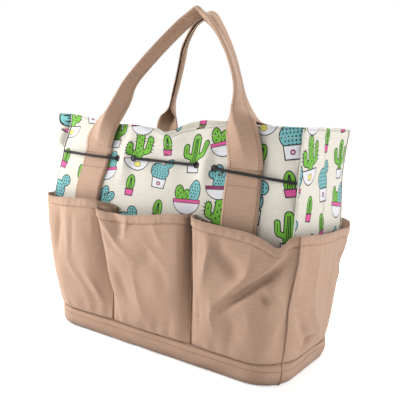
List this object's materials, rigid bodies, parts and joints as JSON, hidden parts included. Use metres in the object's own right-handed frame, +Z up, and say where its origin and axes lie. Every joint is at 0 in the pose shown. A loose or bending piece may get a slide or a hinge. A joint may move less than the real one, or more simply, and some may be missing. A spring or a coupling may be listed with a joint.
{
  "type": "garden tool bag",
  "caption": "Open-topped canvas tote for garden hand tools, with outer pockets all round, two carry handles and an elastic cord across each face of the mouth.",
  "frame": {"origin": "middle of the underside of the base, on the ground", "axes": "+Z up, +X along the bag's length towards its right side as seen from the front, front face towards -Y"},
  "size_m": [0.369, 0.194, 0.4079],
  "materials": {
    "tan_canvas": "matte",
    "printed_canvas": "matte",
    "lining_canvas": "matte",
    "elastic_cord": "matte",
    "eyelet_black": "satin",
    "binding_tape": "matte"
  },
  "bodies": {
    "bag": {"base_panel": "tan_canvas", "base_band_front": "tan_canvas", "base_band_back": "tan_canvas", "base_band_left": "tan_canvas", "base_band_right": "tan_canvas", "front_panel_lower": "lining_canvas", "back_panel_lower": "lining_canvas", "left_gusset": "printed_canvas", "right_gusset": "printed_canvas", "left_rim_facing": "lining_canvas", "right_rim_facing": "lining_canvas", "seam_bindings": "binding_tape", "left_side_pocket": "tan_canvas", "right_side_pocket": "tan_canvas", "front_left_pocket": "tan_canvas", "front_middle_pocket": "tan_canvas", "front_right_pocket": "tan_canvas", "front_left_strap_lower": "tan_canvas", "front_right_strap_lower": "tan_canvas", "back_left_pocket": "tan_canvas", "back_middle_pocket": "tan_canvas", "back_right_pocket": "tan_canvas", "back_left_strap_lower": "tan_canvas", "back_right_strap_lower": "tan_canvas"},
    "front_upper": {"front_panel_upper": "printed_canvas", "front_rim_facing": "lining_canvas", "front_left_strap_upper": "tan_canvas", "front_right_strap_upper": "tan_canvas", "front_cord": "elastic_cord", "front_eyelets": "eyelet_black"},
    "front_handle_loop": {"front_handle": "tan_canvas"},
    "back_upper": {"back_panel_upper": "printed_canvas", "back_rim_facing": "lining_canvas", "back_left_strap_upper": "tan_canvas", "back_right_strap_upper": "tan_canvas", "back_cord": "elastic_cord", "back_eyelets": "eyelet_black"},
    "back_handle_loop": {"back_handle": "tan_canvas"}
  },
  "joints": [
    {"name": "front_mouth_tilt", "type": "hinge", "parent": "bag", "child": "front_upper", "pos_m": [0, -0.0806, 0.1705], "axis": [1, 0, 0], "range_deg": [0, 14], "stiffness_Nm_per_rad": 1.2},
    {"name": "front_handle_swing", "type": "hinge", "parent": "front_upper", "child": "front_handle_loop", "pos_m": [0, -0.0732, 0.229], "axis": [1, 0, 0], "range_deg": [-1, 150]},
    {"name": "back_mouth_tilt", "type": "hinge", "parent": "bag", "child": "back_upper", "pos_m": [0, 0.0806, 0.1705], "axis": [-1, 0, 0], "range_deg": [0, 14], "stiffness_Nm_per_rad": 1.2},
    {"name": "back_handle_swing", "type": "hinge", "parent": "back_upper", "child": "back_handle_loop", "pos_m": [0, 0.0732, 0.229], "axis": [-1, 0, 0], "range_deg": [-1, 150]}
  ]
}
